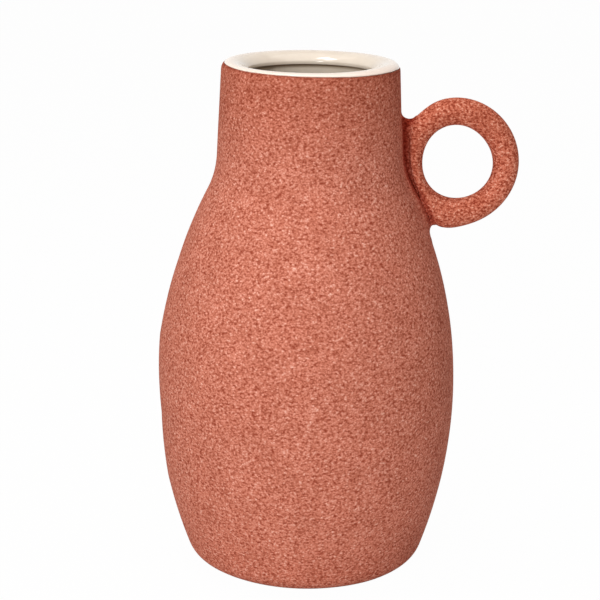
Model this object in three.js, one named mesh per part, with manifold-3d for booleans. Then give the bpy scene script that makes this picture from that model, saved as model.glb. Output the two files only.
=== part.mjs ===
// Pitcher vase: a stoneware body with a rolled lip, a finger ring luted to its neck,
// a cream liner glaze inside and over the lip, and a sand-textured coat outside.
// Millimetres, +Z up. The origin is on the vase's axis, on the face that it stands on.
// The ring handle lies in the XZ plane, on the +X side.

import * as THREE from 'three';
import { mergeVertices } from 'three/addons/utils/BufferGeometryUtils.js';
import Module from 'manifold-3d';

// Outside form of the vase, over the glazes
const vaseHeight = 280;
const bellyRadius = 82;
const bellyHeight = 100;
const lowerBellyArc = 277;
const upperBellyArc = 238;
const shoulderArc = 48;
const heelArc = 14;
const lipRadius = 47.7;
const neckTaperDegrees = 2.8;
const lipBeadRadius = 4.8;
const lipRollArc = 11;
const lipRollEndDegrees = 146;
const lipTipArc = 1.4;
const underTipArc = 3.5;
const coatEdgeDegrees = 31;
const dryFootHeight = 1.6;

// Thicknesses
const clayWall = 3.8;
const clayFloor = 6;
const sandCoat = 0.9;
const linerGlaze = 0.8;
const slipLayer = 1.5;
const fitGap = 0.3;
const innerHeelArc = 12;

// Finger ring, and the web of slip that closes the notches above and below its joint
const ringRadius = 27.4;
const ringTubeRadius = 7.1;
const ringDropFromLip = 55.4;
const ringBite = 4.4;
const upperWebFillet = 4.7;
const lowerWebFillet = 5.5;
const webThickness = 5;

// How finely curves are divided
const turnSegments = 36;
const heelSteps = 3;
const lowerBellySteps = 4;
const upperBellySteps = 5;
const shoulderSteps = 3;
const coatLipSteps = 2;
const underTipSteps = 2;
const tipSteps = 4;
const rollSteps = 2;
const beadOverSteps = 2;
const ringSegments = 32;
const tubeSegments = 12;
const webFilletSteps = 5;
const webRingSteps = 4;
const ballHalvings = 50;

const degree = Math.PI / 180;
const neckTaper = neckTaperDegrees * degree;
const coatEdge = coatEdgeDegrees * degree;
const lipRollEnd = lipRollEndDegrees * degree;
const wallTotal = sandCoat + fitGap + clayWall + fitGap + linerGlaze;

// Points of a profile have x as the radius from the axis and y as the height.
const onAxis = (height) => new THREE.Vector2(0, height);

function polar(centre, radius, angle) {
  return new THREE.Vector2(centre.x + radius * Math.cos(angle), centre.y + radius * Math.sin(angle));
}

function arc(centre, radius, from, to, steps) {
  return Array.from({ length: steps + 1 }, (_, i) => polar(centre, radius, from + ((to - from) * i) / steps));
}

// Centres that every skin of the wall shares, so that all of them stay parallel
const beadCentre = new THREE.Vector2(lipRadius - lipBeadRadius, vaseHeight - lipBeadRadius);
const lowerCentre = new THREE.Vector2(bellyRadius - lowerBellyArc, bellyHeight);
const upperCentre = new THREE.Vector2(bellyRadius - upperBellyArc, bellyHeight);

// The shoulder arc touches the upper belly arc and the tapered neck line.
const neckNormal = new THREE.Vector2(Math.cos(neckTaper), Math.sin(neckTaper));
const neckLine = neckNormal.dot(beadCentre) + lipBeadRadius;
const shoulderReach = upperBellyArc + shoulderArc;
const bellyEnd = neckTaper + Math.acos((neckLine + shoulderArc - neckNormal.dot(upperCentre)) / shoulderReach);
const shoulderCentre = polar(upperCentre, shoulderReach, bellyEnd);

// Over its top the lip's bead turns into a flatter roll, which ends in a small tip. Under the tip, an arc
// in the hollow touches both the tip and the neck's inside.
const rollCentre = new THREE.Vector2(beadCentre.x, vaseHeight - lipRollArc);
const tipCentre = polar(rollCentre, lipRollArc - lipTipArc, lipRollEnd);
const underTipReach = lipTipArc + underTipArc;
const underTipOffset = neckLine - wallTotal - underTipArc - neckNormal.dot(tipCentre);
const underTip = neckTaper - Math.acos(underTipOffset / underTipReach);
const underTipCentre = polar(tipCentre, underTipReach, underTip);

// A heel arc touches the lower belly arc and a flat floor.
function heelAt(floorHeight, heelRadius, wallArc) {
  const angle = Math.asin((floorHeight + heelRadius - bellyHeight) / (wallArc - heelRadius));
  return { centre: polar(lowerCentre, wallArc - heelRadius, angle), end: angle };
}
const floorTop = clayFloor + fitGap + linerGlaze;
const outerHeel = heelAt(0, heelArc, lowerBellyArc);
const innerHeel = heelAt(floorTop, innerHeelArc, lowerBellyArc - wallTotal);

// One skin of the wall, from its heel to the top of the shoulder
function wallRun(inset, heel, heelRadius, heelStart) {
  return [
    ...arc(heel.centre, heelRadius, heelStart, heel.end, heelSteps),
    ...arc(lowerCentre, lowerBellyArc - inset, heel.end, 0, lowerBellySteps).slice(1),
    ...arc(upperCentre, upperBellyArc - inset, 0, bellyEnd, upperBellySteps).slice(1),
    ...arc(shoulderCentre, shoulderArc + inset, Math.PI + bellyEnd, Math.PI + neckTaper, shoulderSteps).slice(1),
  ];
}

// An outer skin, sunk by inset below the finished surface, up to the level of the lip bead's centre
function outerRun(inset, heelStart) {
  const run = wallRun(inset, outerHeel, heelArc - inset, heelStart);
  return [...run, polar(beadCentre, lipBeadRadius - inset, neckTaper)];
}

// An inner skin, sunk by depth below the glazed inside, from the floor's edge up and over the lip
function innerRun(depth, lipEnd) {
  const tipEnd = lipRollEnd - 2 * Math.PI;
  return [
    ...wallRun(wallTotal - depth, innerHeel, innerHeelArc + depth, -Math.PI / 2),
    ...arc(underTipCentre, underTipArc + depth, neckTaper, underTip + Math.PI, underTipSteps),
    ...arc(tipCentre, lipTipArc - depth, underTip, tipEnd, tipSteps).slice(1),
    ...arc(rollCentre, lipRollArc - depth, lipRollEnd, Math.PI / 2, rollSteps).slice(1),
    ...arc(beadCentre, lipBeadRadius - depth, Math.PI / 2, lipEnd, beadOverSteps).slice(1),
  ];
}

// Where a heel of this inset reaches a given height
function heelAngleAt(height, inset) {
  return Math.asin((height - heelArc) / (heelArc - inset));
}

const wasm = await Module();
wasm.setup();

function solid(geometry) {
  const bare = geometry.clone();
  bare.deleteAttribute('normal');
  bare.deleteAttribute('uv');
  const merged = mergeVertices(bare);
  const index = Array.from(merged.index.array);
  const faces = [];
  for (let i = 0; i < index.length; i += 3) {
    const corners = index.slice(i, i + 3);
    if (new Set(corners).size === 3) {
      faces.push(...corners);
    }
  }
  const mesh = new wasm.Mesh({
    numProp: 3,
    vertProperties: new Float32Array(merged.attributes.position.array),
    triVerts: new Uint32Array(faces),
  });
  return new wasm.Manifold(mesh);
}

function geometryOf(manifold) {
  const mesh = manifold.getMesh();
  const geometry = new THREE.BufferGeometry();
  geometry.setAttribute('position', new THREE.BufferAttribute(mesh.vertProperties, 3));
  geometry.setIndex(new THREE.BufferAttribute(mesh.triVerts, 1));
  geometry.computeVertexNormals();
  return geometry;
}

// A profile, from its lowest outside point round to its inside, turned about the vase's axis
function turned(profile) {
  return solid(new THREE.LatheGeometry(profile, turnSegments).rotateX(Math.PI / 2));
}

// The vase filled solid, sunk by inset below its finished surface
function filledWall(inset) {
  const run = outerRun(inset, -Math.PI / 2);
  return turned([onAxis(run[0].y), ...run, onAxis(beadCentre.y)]);
}

// The outside radius of the wall at any height above the belly
function wallRadiusAt(height) {
  const neckFoot = polar(shoulderCentre, shoulderArc, Math.PI + neckTaper);
  const shoulderFoot = polar(upperCentre, upperBellyArc, bellyEnd);
  if (height > neckFoot.y) {
    return (neckLine - neckNormal.y * height) / neckNormal.x;
  }
  if (height > shoulderFoot.y) {
    return shoulderCentre.x - Math.sqrt(shoulderArc ** 2 - (height - shoulderCentre.y) ** 2);
  }
  return upperCentre.x + Math.sqrt(upperBellyArc ** 2 - (height - upperCentre.y) ** 2);
}

// How far a point beside the neck, the shoulder or the belly is from the wall, and where its nearest point lies
function nearestWall(point) {
  const aside = shoulderCentre.clone().sub(point);
  const turn = Math.atan2(aside.y, aside.x);
  if (turn < neckTaper) {
    return { distance: neckNormal.dot(point) - neckLine, direction: Math.PI + neckTaper };
  }
  if (turn < bellyEnd) {
    return { distance: shoulderArc - aside.length(), direction: Math.PI + turn };
  }
  const inward = upperCentre.clone().sub(point);
  return { distance: inward.length() - upperBellyArc, direction: inward.angle() };
}

// The ring's outer edge bites into the wall at the ring's own height.
const ringHeight = vaseHeight - ringDropFromLip;
const ringCentreX = wallRadiusAt(ringHeight) + ringRadius + ringTubeRadius - ringBite;

function ring(tubeRadius) {
  const torus = new THREE.TorusGeometry(ringRadius, tubeRadius, tubeSegments, ringSegments);
  return solid(torus.rotateX(Math.PI / 2).translate(ringCentreX, 0, ringHeight));
}

// The finished surface lies this far outside the clay.
const coatBuild = sandCoat + fitGap;
const ringClayRadius = ringTubeRadius - coatBuild;

const ringCentre = new THREE.Vector2(ringCentreX, ringHeight);
const ringOutside = ringRadius + ringTubeRadius;

// A ball that touches ring and wall, found by halving its angle about the ring's centre between one where it is
// sunk in the wall and one where it is clear of it
function rolledBall(radius, sunk, clear) {
  const reach = ringOutside + radius;
  const range = { sunk, clear };
  for (let i = 0; i < ballHalvings; i += 1) {
    const middle = (range.sunk + range.clear) / 2;
    const { distance } = nearestWall(polar(ringCentre, reach, middle));
    range[distance < radius ? 'sunk' : 'clear'] = middle;
  }
  return { centre: polar(ringCentre, reach, range.clear), angle: range.clear };
}

// The web's outline in the ring's plane is hollow above and below, as if a ball was rolled into each notch.
const upper = rolledBall(upperWebFillet, Math.PI, Math.PI / 2);
const lower = rolledBall(lowerWebFillet, Math.PI, Math.PI * 3 / 2);
const [upperBall, lowerBall] = [upper.centre, lower.centre];
const upperWallAngle = nearestWall(upperBall).direction;
const lowerWallAngle = nearestWall(lowerBall).direction;

// The web, grown by growth. It reaches inside the wall and inside the ring, which are cut from it later.
function web(growth) {
  const upperRadius = upperWebFillet + coatBuild - growth;
  const lowerRadius = lowerWebFillet + coatBuild - growth;
  const towardsRing = [lower.angle - Math.PI, upper.angle + Math.PI];
  const lowerEdge = arc(lowerBall, lowerRadius, lowerWallAngle, towardsRing[0], webFilletSteps);
  const upperEdge = arc(upperBall, upperRadius, towardsRing[1], upperWallAngle, webFilletSteps);
  const ringEdge = arc(ringCentre, ringRadius, lower.angle, upper.angle, webRingSteps);
  const upperRoot = polar(upperBall, upperWebFillet + wallTotal, upperWallAngle);
  const lowerRoot = polar(lowerBall, lowerWebFillet + wallTotal, lowerWallAngle);
  const wallEdge = [upperRoot, onAxis(upperRoot.y), onAxis(lowerRoot.y), lowerRoot];
  const outline = new THREE.Shape([...lowerEdge, ...ringEdge, ...upperEdge, ...wallEdge]);
  const thickness = webThickness + 2 * growth;
  const plate = new THREE.ExtrudeGeometry(outline, { depth: thickness, bevelEnabled: false });
  return solid(plate.rotateX(Math.PI / 2).translate(0, thickness / 2, 0));
}

// Clay body: bare foot on the table, wall, floor, and the bead of the lip, in one casting
function stonewareBody() {
  const stepUp = dryFootHeight + fitGap;
  const foot = arc(outerHeel.centre, heelArc, -Math.PI / 2, heelAngleAt(dryFootHeight, 0), heelSteps);
  return turned([
    onAxis(0),
    ...foot,
    ...outerRun(coatBuild, heelAngleAt(stepUp, coatBuild)),
    ...innerRun(linerGlaze + fitGap, coatEdge).reverse(),
    onAxis(clayFloor),
  ]);
}

// Cream glaze: one skin over the floor, up the inside and over the lip to the coat's edge
function linerSkin() {
  const coatGapAngle = fitGap / lipBeadRadius;
  const lipEnd = coatEdge + coatGapAngle;
  return turned([
    onAxis(clayFloor + fitGap),
    ...innerRun(linerGlaze, lipEnd),
    ...innerRun(0, lipEnd).reverse(),
    onAxis(floorTop),
  ]);
}

// Clay ring, cut to the curve of the wall with room for the slip
function ringClay() {
  return ring(ringClayRadius).subtract(filledWall(coatBuild - fitGap - slipLayer - fitGap));
}

// Luting slip: a pad between the ring's cut side and the wall, and the web above and below it
function slipJoint() {
  const slipFace = filledWall(coatBuild - fitGap - slipLayer);
  const pad = ring(ringClayRadius).intersect(slipFace);
  const ringSpace = ring(ringClayRadius + fitGap).subtract(slipFace);
  return web(0).add(pad).subtract(filledWall(coatBuild - fitGap)).subtract(ringSpace);
}

// Sand coat: one skin over wall, web and ring, open where the ring's clay passes through it
function sandSkin() {
  const lipRun = (inset) => arc(beadCentre, lipBeadRadius - inset, neckTaper, coatEdge, coatLipSteps).slice(1);
  const outside = [...outerRun(0, heelAngleAt(dryFootHeight + fitGap, 0)), ...lipRun(0)];
  const inside = [...outerRun(sandCoat, heelAngleAt(dryFootHeight + fitGap, sandCoat)), ...lipRun(sandCoat)];
  const wallSkin = turned([...outside, ...inside.reverse(), outside[0]]);
  const ringSkin = ring(ringTubeRadius).add(web(coatBuild)).subtract(filledWall(sandCoat));
  return wallSkin.add(ringSkin).subtract(ring(ringClayRadius + fitGap)).subtract(web(fitGap));
}

const pieces = {
  stoneware_body: { shape: stonewareBody(), color: 0xc9a78c, roughness: 0.85 },
  ring_handle: { shape: ringClay(), color: 0xc4a084, roughness: 0.85 },
  handle_slip_joint: { shape: slipJoint(), color: 0xae8468, roughness: 0.9 },
  liner_glaze: { shape: linerSkin(), color: 0xe6dfd2, roughness: 0.18 },
  sand_coat: { shape: sandSkin(), color: 0xbe6a55, roughness: 0.75 },
};

const vase = new THREE.Group();
for (const [name, { shape, color, roughness }] of Object.entries(pieces)) {
  const material = new THREE.MeshStandardMaterial({ color, roughness, metalness: 0 });
  const mesh = new THREE.Mesh(geometryOf(shape), material);
  mesh.name = name;
  vase.add(mesh);
}

export default vase;
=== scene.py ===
# Pitcher vase: a cast stoneware body with a rolled lip, a finger ring luted to its neck,
# a cream liner glaze inside and over the lip, and a terracotta coat with sand in it outside.
# Metres, +Z up along the vase's axis, the ring handle on the +X side. Design sizes are in millimetres.
import math

import bpy
import numpy as np
from mathutils import Matrix, Vector


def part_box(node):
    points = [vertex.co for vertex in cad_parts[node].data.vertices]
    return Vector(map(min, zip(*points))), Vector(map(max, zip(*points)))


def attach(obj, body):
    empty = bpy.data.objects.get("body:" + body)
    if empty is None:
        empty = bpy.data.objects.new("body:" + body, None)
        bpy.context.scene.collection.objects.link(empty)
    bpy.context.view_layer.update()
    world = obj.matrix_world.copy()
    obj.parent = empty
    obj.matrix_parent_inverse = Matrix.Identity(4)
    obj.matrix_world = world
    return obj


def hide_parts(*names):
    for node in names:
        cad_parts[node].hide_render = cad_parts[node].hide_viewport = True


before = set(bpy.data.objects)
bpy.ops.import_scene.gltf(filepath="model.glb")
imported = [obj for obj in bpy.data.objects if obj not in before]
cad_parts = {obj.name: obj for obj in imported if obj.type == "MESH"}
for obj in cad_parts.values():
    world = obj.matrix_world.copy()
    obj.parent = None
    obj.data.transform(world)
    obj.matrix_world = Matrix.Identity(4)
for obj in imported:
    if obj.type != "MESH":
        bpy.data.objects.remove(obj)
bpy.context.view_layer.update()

MM = 0.001

# Outside form of the vase, over the glazes. Each ARC is the radius of one arc of its profile.
VASE_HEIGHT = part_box("liner_glaze")[1].z / MM
BELLY_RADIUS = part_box("sand_coat")[1].y / MM
BELLY_HEIGHT = 100
LOWER_BELLY_ARC = 277
UPPER_BELLY_ARC = 238
SHOULDER_ARC = 48
HEEL_ARC = 14
LIP_RADIUS = 47.7
NECK_TAPER = math.radians(2.8)
LIP_BEAD_RADIUS = 4.8
LIP_ROLL_ARC = 11
LIP_ROLL_END = math.radians(144)
LIP_TIP_ARC = 1.4
UNDER_TIP_ARC = 3.5
GLAZE_DROP_ARC = 0.6
COAT_EDGE = math.radians(33)
DRY_FOOT_HEIGHT = 1.6

# Thicknesses
CLAY_WALL = 3.8
CLAY_FLOOR = 6
SAND_COAT = 0.9
LINER_GLAZE = 0.8
FIT_GAP = 0.3
INNER_HEEL_ARC = 12
COAT_BUILD = SAND_COAT + FIT_GAP
WALL_TOTAL = COAT_BUILD + CLAY_WALL + FIT_GAP + LINER_GLAZE
EDGE_ROUND = 0.35

# Finger ring: a hand-rolled coil, so its round and its thickness vary a little. Each term of that is a number
# of waves in one turn and the amounts along their cosine and their sine. Its outer side is pinched in above
# the joint and fuller below it: each local swell has a turn, a spread and an amount.
RING_RADIUS = 27.4
RING_TUBE_RADIUS = 7.1
RING_DROP_FROM_LIP = 55.4
RING_BITE = 4.4
RING_OUT_OF_ROUND = ((0, 0.08, 0), (1, -0.38, -0.03), (2, -0.40, -0.15), (3, 0.25, -0.2))
RING_THICKER = ((0, 0.51, 0), (1, -0.5, -0.19), (2, 0, 0.34))
UPPER_PINCH = (math.radians(130), math.radians(16), -1.3)
LOWER_SWELL = (math.radians(-98), math.radians(13), 0.9)

# The joint: the ring's cut side stands off the wall, a narrower web of slip joins the two, and slip built up
# on the wall narrows the groove between them and fills it at its foot. Pairs are at the foot and at the top.
GROOVE_WIDTH = (3.2, 4.0)
BUILD_UP = (2.7, 0.8)
GROOVE_ROOT = (1.5, 1.0)
# Painted shade in the groove: how wide it is and how dark, at the foot and at the top
GROOVE_SHADE_WIDTH = (3.0, 2.2)
GROOVE_SHADE_DEPTH = (0.6, 0.9)

# The web of slip, and how far the corners of the web and of the ring's cut side are rounded
WEB_HALF_WIDTH = 2.4
UPPER_WEB_FILLET = 5.2
LOWER_WEB_FILLET = 2.7
WEB_EDGE = 1.8
RING_EDGE = 4.2

# Distances off the ring: over the first pair the built-up slip fades out, and over the second the coat made
# round the ring sinks under the turned wall. The joint's forms end at the third, and the space in which they
# are meshed is larger by a margin.
BUILD_UP_FADE = (-1, 7)
COAT_SINKS = (7, 13)
JOINT_REACH = 15
MESH_MARGIN = 2

# The coat's colours: the painted shade in the groove fades out between these shares of the groove's width,
# and the ring's own comes in between these distances off the wall
GROOVE_SHADE_FADE = (0.35, 1.65)
RING_COLOUR_FADE = (1, 6)

# How far the hand-finished wall wanders, how big those waves are, how far off the ring's seat they start and
# are full, and how far the side away from the ring swells, at some heights
WOBBLE = 0.25
WOBBLE_SIZE = 60
WOBBLE_OFF_SEAT = (40, 75)
SWELL_AWAY_FROM_RING = ((0, -0.8), (48, 0.4), (84, -0.7), (128, 1.1), (170, -0.1), (280, 0.45))

# The lip dips a little on one side
LIP_DIP = 1.0
LIP_DIP_TOWARDS = math.radians(-110)
LIP_DIP_REACH = 20

# How the coat's brushed edge runs on the lip. Its ripple has about this many waves to a radian. A darker line
# under it is this many of the bead's degrees wide, and is found in this many shares of the whole turn.
EDGE_TILT = math.radians(17)
LOW_EDGE_TOWARDS = math.radians(35)
EDGE_RIPPLE = math.radians(4)
EDGE_RIPPLE_WAVES = 2.6
EDGE_LINE = 36
EDGE_SHARES = 128

# A noise lies about its middle and seldom passes its high, and a seed picks one run of it
NOISE_MIDDLE = 0.5
NOISE_HIGH = 0.8
RIPPLE_SEED = 4.1
WOBBLE_SEED = 2.3

# The glaze's colours on the lip. Painted shade in the crevice under the roll's tip lies at these heights off
# the foot of the roll's tip: it begins, is full, starts to end and ends. Painted light makes the glaze paler
# on the lip's outer turn, from the first to the second distance off the bead's middle.
CREVICE_SHADE = (-3.4, -1.2, -0.5, 0)
LIP_PAINTED_LIGHT = (-2, 3)

# Mesh spacing, and the distance at which points count as one
FINE_ROW = 1.6
HIDDEN_ROW = 7
TURN_SEGMENTS = 256
FINE_CELL = 0.8
HIDDEN_CELL = 1.3
WELD = 0.002

# How the points of a meshed form are put in order: in each round a point first goes this share of the way to
# the middle of its neighbours, and then onto the surface, along a slope whose square counts as this at least
EVENING_ROUNDS = (0.5, 0.5, 0.5, 0, 0)
LEAST_STEEP = 0.25


# Points of a profile are pairs: how far from the axis, and how high
def polar(centre, radius, angle):
    return np.array((centre[0] + radius * math.cos(angle), centre[1] + radius * math.sin(angle)))


def arc(centre, radius, start, end, spacing):
    steps = max(3, math.ceil(abs(end - start) * radius / spacing))
    return [polar(centre, radius, start + (end - start) * i / steps) for i in range(steps + 1)]


def line(start, end, spacing):
    steps = max(1, math.ceil(np.linalg.norm(end - start) / spacing))
    return [start + (end - start) * i / steps for i in range(steps + 1)]


# Centres that every skin of the wall shares, so that all of them stay parallel
BEAD = np.array((LIP_RADIUS - LIP_BEAD_RADIUS, VASE_HEIGHT - LIP_BEAD_RADIUS))
LOWER = np.array((BELLY_RADIUS - LOWER_BELLY_ARC, BELLY_HEIGHT))
UPPER = np.array((BELLY_RADIUS - UPPER_BELLY_ARC, BELLY_HEIGHT))
NECK_NORMAL = np.array((math.cos(NECK_TAPER), math.sin(NECK_TAPER)))
NECK_LINE = NECK_NORMAL @ BEAD + LIP_BEAD_RADIUS
SHOULDER_REACH = UPPER_BELLY_ARC + SHOULDER_ARC
BELLY_END = NECK_TAPER + math.acos((NECK_LINE + SHOULDER_ARC - NECK_NORMAL @ UPPER) / SHOULDER_REACH)
SHOULDER = polar(UPPER, SHOULDER_REACH, BELLY_END)
FLOOR_TOP = CLAY_FLOOR + FIT_GAP + LINER_GLAZE

# The lip's bead turns into a flatter roll, which ends in a small tip, with a hollow under it
ROLL = np.array((BEAD[0], VASE_HEIGHT - LIP_ROLL_ARC))
TIP = polar(ROLL, LIP_ROLL_ARC - LIP_TIP_ARC, LIP_ROLL_END)
UNDER_TIP_REACH = LIP_TIP_ARC + UNDER_TIP_ARC
UNDER_TIP_OFF_TIP = NECK_LINE - WALL_TOTAL - UNDER_TIP_ARC - NECK_NORMAL @ TIP
UNDER_TIP_ANGLE = NECK_TAPER - math.acos(UNDER_TIP_OFF_TIP / UNDER_TIP_REACH)
UNDER_TIP = polar(TIP, UNDER_TIP_REACH, UNDER_TIP_ANGLE)


def heel_at(floor_height, heel_radius, wall_arc):
    """The centre of a heel that touches the lower belly and a flat floor, and the angle where it ends."""
    angle = math.asin((floor_height + heel_radius - BELLY_HEIGHT) / (wall_arc - heel_radius))
    return polar(LOWER, wall_arc - heel_radius, angle), angle


OUTER_HEEL, OUTER_HEEL_END = heel_at(0, HEEL_ARC, LOWER_BELLY_ARC)
INNER_HEEL, INNER_HEEL_END = heel_at(FLOOR_TOP, INNER_HEEL_ARC, LOWER_BELLY_ARC - WALL_TOTAL)


def wall_run(inset, heel, heel_radius, heel_start, heel_end, spacing):
    """One skin of the wall, from its heel up to the foot of the neck."""
    return [
        *arc(heel, heel_radius, heel_start, heel_end, spacing),
        *arc(LOWER, LOWER_BELLY_ARC - inset, heel_end, 0, spacing)[1:],
        *arc(UPPER, UPPER_BELLY_ARC - inset, 0, BELLY_END, spacing)[1:],
        *arc(SHOULDER, SHOULDER_ARC + inset, math.pi + BELLY_END, math.pi + NECK_TAPER, spacing)[1:],
    ]


def outer_run(inset, heel_start, spacing):
    """An outer skin, sunk by inset below the finished surface, from the heel to the lip's bead."""
    run = wall_run(inset, OUTER_HEEL, HEEL_ARC - inset, heel_start, OUTER_HEEL_END, spacing)
    return run + line(run[-1], polar(BEAD, LIP_BEAD_RADIUS - inset, NECK_TAPER), spacing)[1:]


def tip_run(depth, spacing):
    """The tip of the lip's roll, from the hollow under it round to the roll."""
    return arc(TIP, LIP_TIP_ARC - depth, UNDER_TIP_ANGLE, LIP_ROLL_END - 2 * math.pi, spacing)


def dropped_tip_run(spacing):
    """The glaze's own tip: it has run down the roll's face and gathered in a small drop at its lower edge."""
    drop = TIP + (GLAZE_DROP_ARC - LIP_TIP_ARC)
    return [
        *arc(TIP, LIP_TIP_ARC, UNDER_TIP_ANGLE, -math.pi / 2, spacing),
        *arc(drop, GLAZE_DROP_ARC, -math.pi / 2, -math.pi, spacing / 2),
        *arc(TIP, LIP_TIP_ARC, -math.pi, LIP_ROLL_END - 2 * math.pi, spacing),
    ]


def inner_run(depth, lip_end, spacing, lip_spacing, tip):
    """An inner skin, sunk by depth below the glazed inside, from the floor's edge up and over the lip."""
    run = wall_run(WALL_TOTAL - depth, INNER_HEEL, INNER_HEEL_ARC + depth,
                   -math.pi / 2, INNER_HEEL_END, spacing)
    return [
        *run,
        *line(run[-1], polar(UNDER_TIP, UNDER_TIP_ARC + depth, NECK_TAPER), spacing)[1:-1],
        *arc(UNDER_TIP, UNDER_TIP_ARC + depth, NECK_TAPER, UNDER_TIP_ANGLE + math.pi, lip_spacing),
        *tip[1:],
        *arc(ROLL, LIP_ROLL_ARC - depth, LIP_ROLL_END, math.pi / 2, lip_spacing)[1:],
        *arc(BEAD, LIP_BEAD_RADIUS - depth, math.pi / 2, lip_end, lip_spacing)[1:],
    ]


def heel_angle_at(height, inset):
    """The angle where the heel of a skin sunk by inset is at a height."""
    return math.asin((height - HEEL_ARC) / (HEEL_ARC - inset))


def on_axis(height):
    return np.array((0.0, height))


def coat_edge_slide(point):
    """A point's share of the wander of the coat's edge: all at the edge, none on the neck or the crest."""
    angle = math.atan2(point[1] - BEAD[1], point[0] - BEAD[0])
    if np.linalg.norm(point - BEAD) > LIP_BEAD_RADIUS + FIT_GAP or not NECK_TAPER < angle < math.pi / 2:
        return 0.0
    rise = (angle - NECK_TAPER) / (COAT_EDGE - NECK_TAPER)
    fall = (math.pi / 2 - angle) / (math.pi / 2 - COAT_EDGE)
    return max(0.0, min(rise, fall, 1.0))


def coat_outside():
    """The coat's outside as a filled form, cut flat below and square to the bead above."""
    foot = heel_angle_at(DRY_FOOT_HEIGHT + FIT_GAP, 0)
    run = outer_run(0, foot, FINE_ROW)
    edge_turn = EDGE_ROUND / LIP_BEAD_RADIUS
    lip = arc(BEAD, LIP_BEAD_RADIUS, NECK_TAPER, COAT_EDGE - edge_turn, FINE_ROW / 2)[1:]
    corner = polar(BEAD, LIP_BEAD_RADIUS - EDGE_ROUND, COAT_EDGE - edge_turn)
    rounded = arc(corner, EDGE_ROUND, COAT_EDGE - edge_turn, COAT_EDGE + math.pi / 2, EDGE_ROUND / 3)[1:]
    inner = polar(BEAD, LIP_BEAD_RADIUS - SAND_COAT - 2 * FIT_GAP, COAT_EDGE)
    return [on_axis(run[0][1]), *run, *lip, *rounded, inner, on_axis(inner[1])]


def clay_room():
    """What the coat leaves free for the clay body: filled, and longer than the coat at both ends."""
    past_edge = math.pi / 3
    run = outer_run(SAND_COAT, heel_angle_at(DRY_FOOT_HEIGHT, SAND_COAT), HIDDEN_ROW)
    lip = arc(BEAD, LIP_BEAD_RADIUS - SAND_COAT, NECK_TAPER, past_edge, FINE_ROW)[1:]
    return [on_axis(run[0][1]), *run, *lip, on_axis(lip[-1][1])]


def clay_profile():
    """The cast body: bare foot, wall, bead of the lip, inside and floor."""
    step_up = DRY_FOOT_HEIGHT + FIT_GAP
    foot = arc(OUTER_HEEL, HEEL_ARC, -math.pi / 2, heel_angle_at(DRY_FOOT_HEIGHT, 0), FINE_ROW / 2)
    outside = outer_run(COAT_BUILD, heel_angle_at(step_up, COAT_BUILD), HIDDEN_ROW)
    depth = LINER_GLAZE + FIT_GAP
    inside = inner_run(depth, NECK_TAPER, HIDDEN_ROW, FINE_ROW / 2, tip_run(depth, FINE_ROW / 2))
    sole = line(on_axis(0), foot[0], HIDDEN_ROW)
    return [*sole, *foot[1:], *outside, *inside[::-1][1:], on_axis(CLAY_FLOOR)]


def liner_profile():
    """Cream glaze: one skin over the floor, up the inside and over the lip to the coat's edge."""
    end = COAT_EDGE + FIT_GAP / LIP_BEAD_RADIUS
    corner_turn = EDGE_ROUND / LIP_BEAD_RADIUS
    under = inner_run(LINER_GLAZE, end, HIDDEN_ROW, FINE_ROW / 2, tip_run(LINER_GLAZE, FINE_ROW / 2))
    over = inner_run(0, end + corner_turn, FINE_ROW * 1.5, FINE_ROW / 3, dropped_tip_run(FINE_ROW / 3))
    corner = polar(BEAD, LIP_BEAD_RADIUS - EDGE_ROUND, end + corner_turn)
    rounded = arc(corner, EDGE_ROUND, end - math.pi / 2, end + corner_turn, EDGE_ROUND / 3)[:-1]
    return [on_axis(CLAY_FLOOR + FIT_GAP), *under, *rounded, *over[::-1], on_axis(FLOOR_TOP)]


def linear(hex_colour):
    """An sRGB hex colour as linear light, with full opacity."""
    parts = [int(hex_colour[i:i + 2], 16) / 255 for i in (1, 3, 5)]
    return tuple(c / 12.92 if c <= 0.04045 else ((c + 0.055) / 1.055) ** 2.4 for c in parts) + (1.0,)


def add(tree, kind, links=(), values=(), stops=(), **settings):
    """Adds a node with its settings, its sockets' values and what is linked to them. The stops are a colour
    ramp's: each is a place from 0 to 1 and a hex colour."""
    node = tree.nodes.new(kind)
    for name, value in settings.items():
        setattr(node, name, value)
    for socket, value in dict(values).items():
        node.inputs[socket].default_value = value
    for socket, output in dict(links).items():
        tree.links.new(output, node.inputs[socket])
    if stops:
        scale = node.color_ramp.elements
        for _ in stops[2:]:
            scale.new(0.5)
        for element, (place, colour) in zip(scale, stops):
            element.position = place
            element.color = linear(colour)
    return node


def swell_at(height):
    """How far the side away from the ring swells at a height."""
    heights, amounts = zip(*SWELL_AWAY_FROM_RING)
    return float(np.interp(height, heights, amounts))


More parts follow.
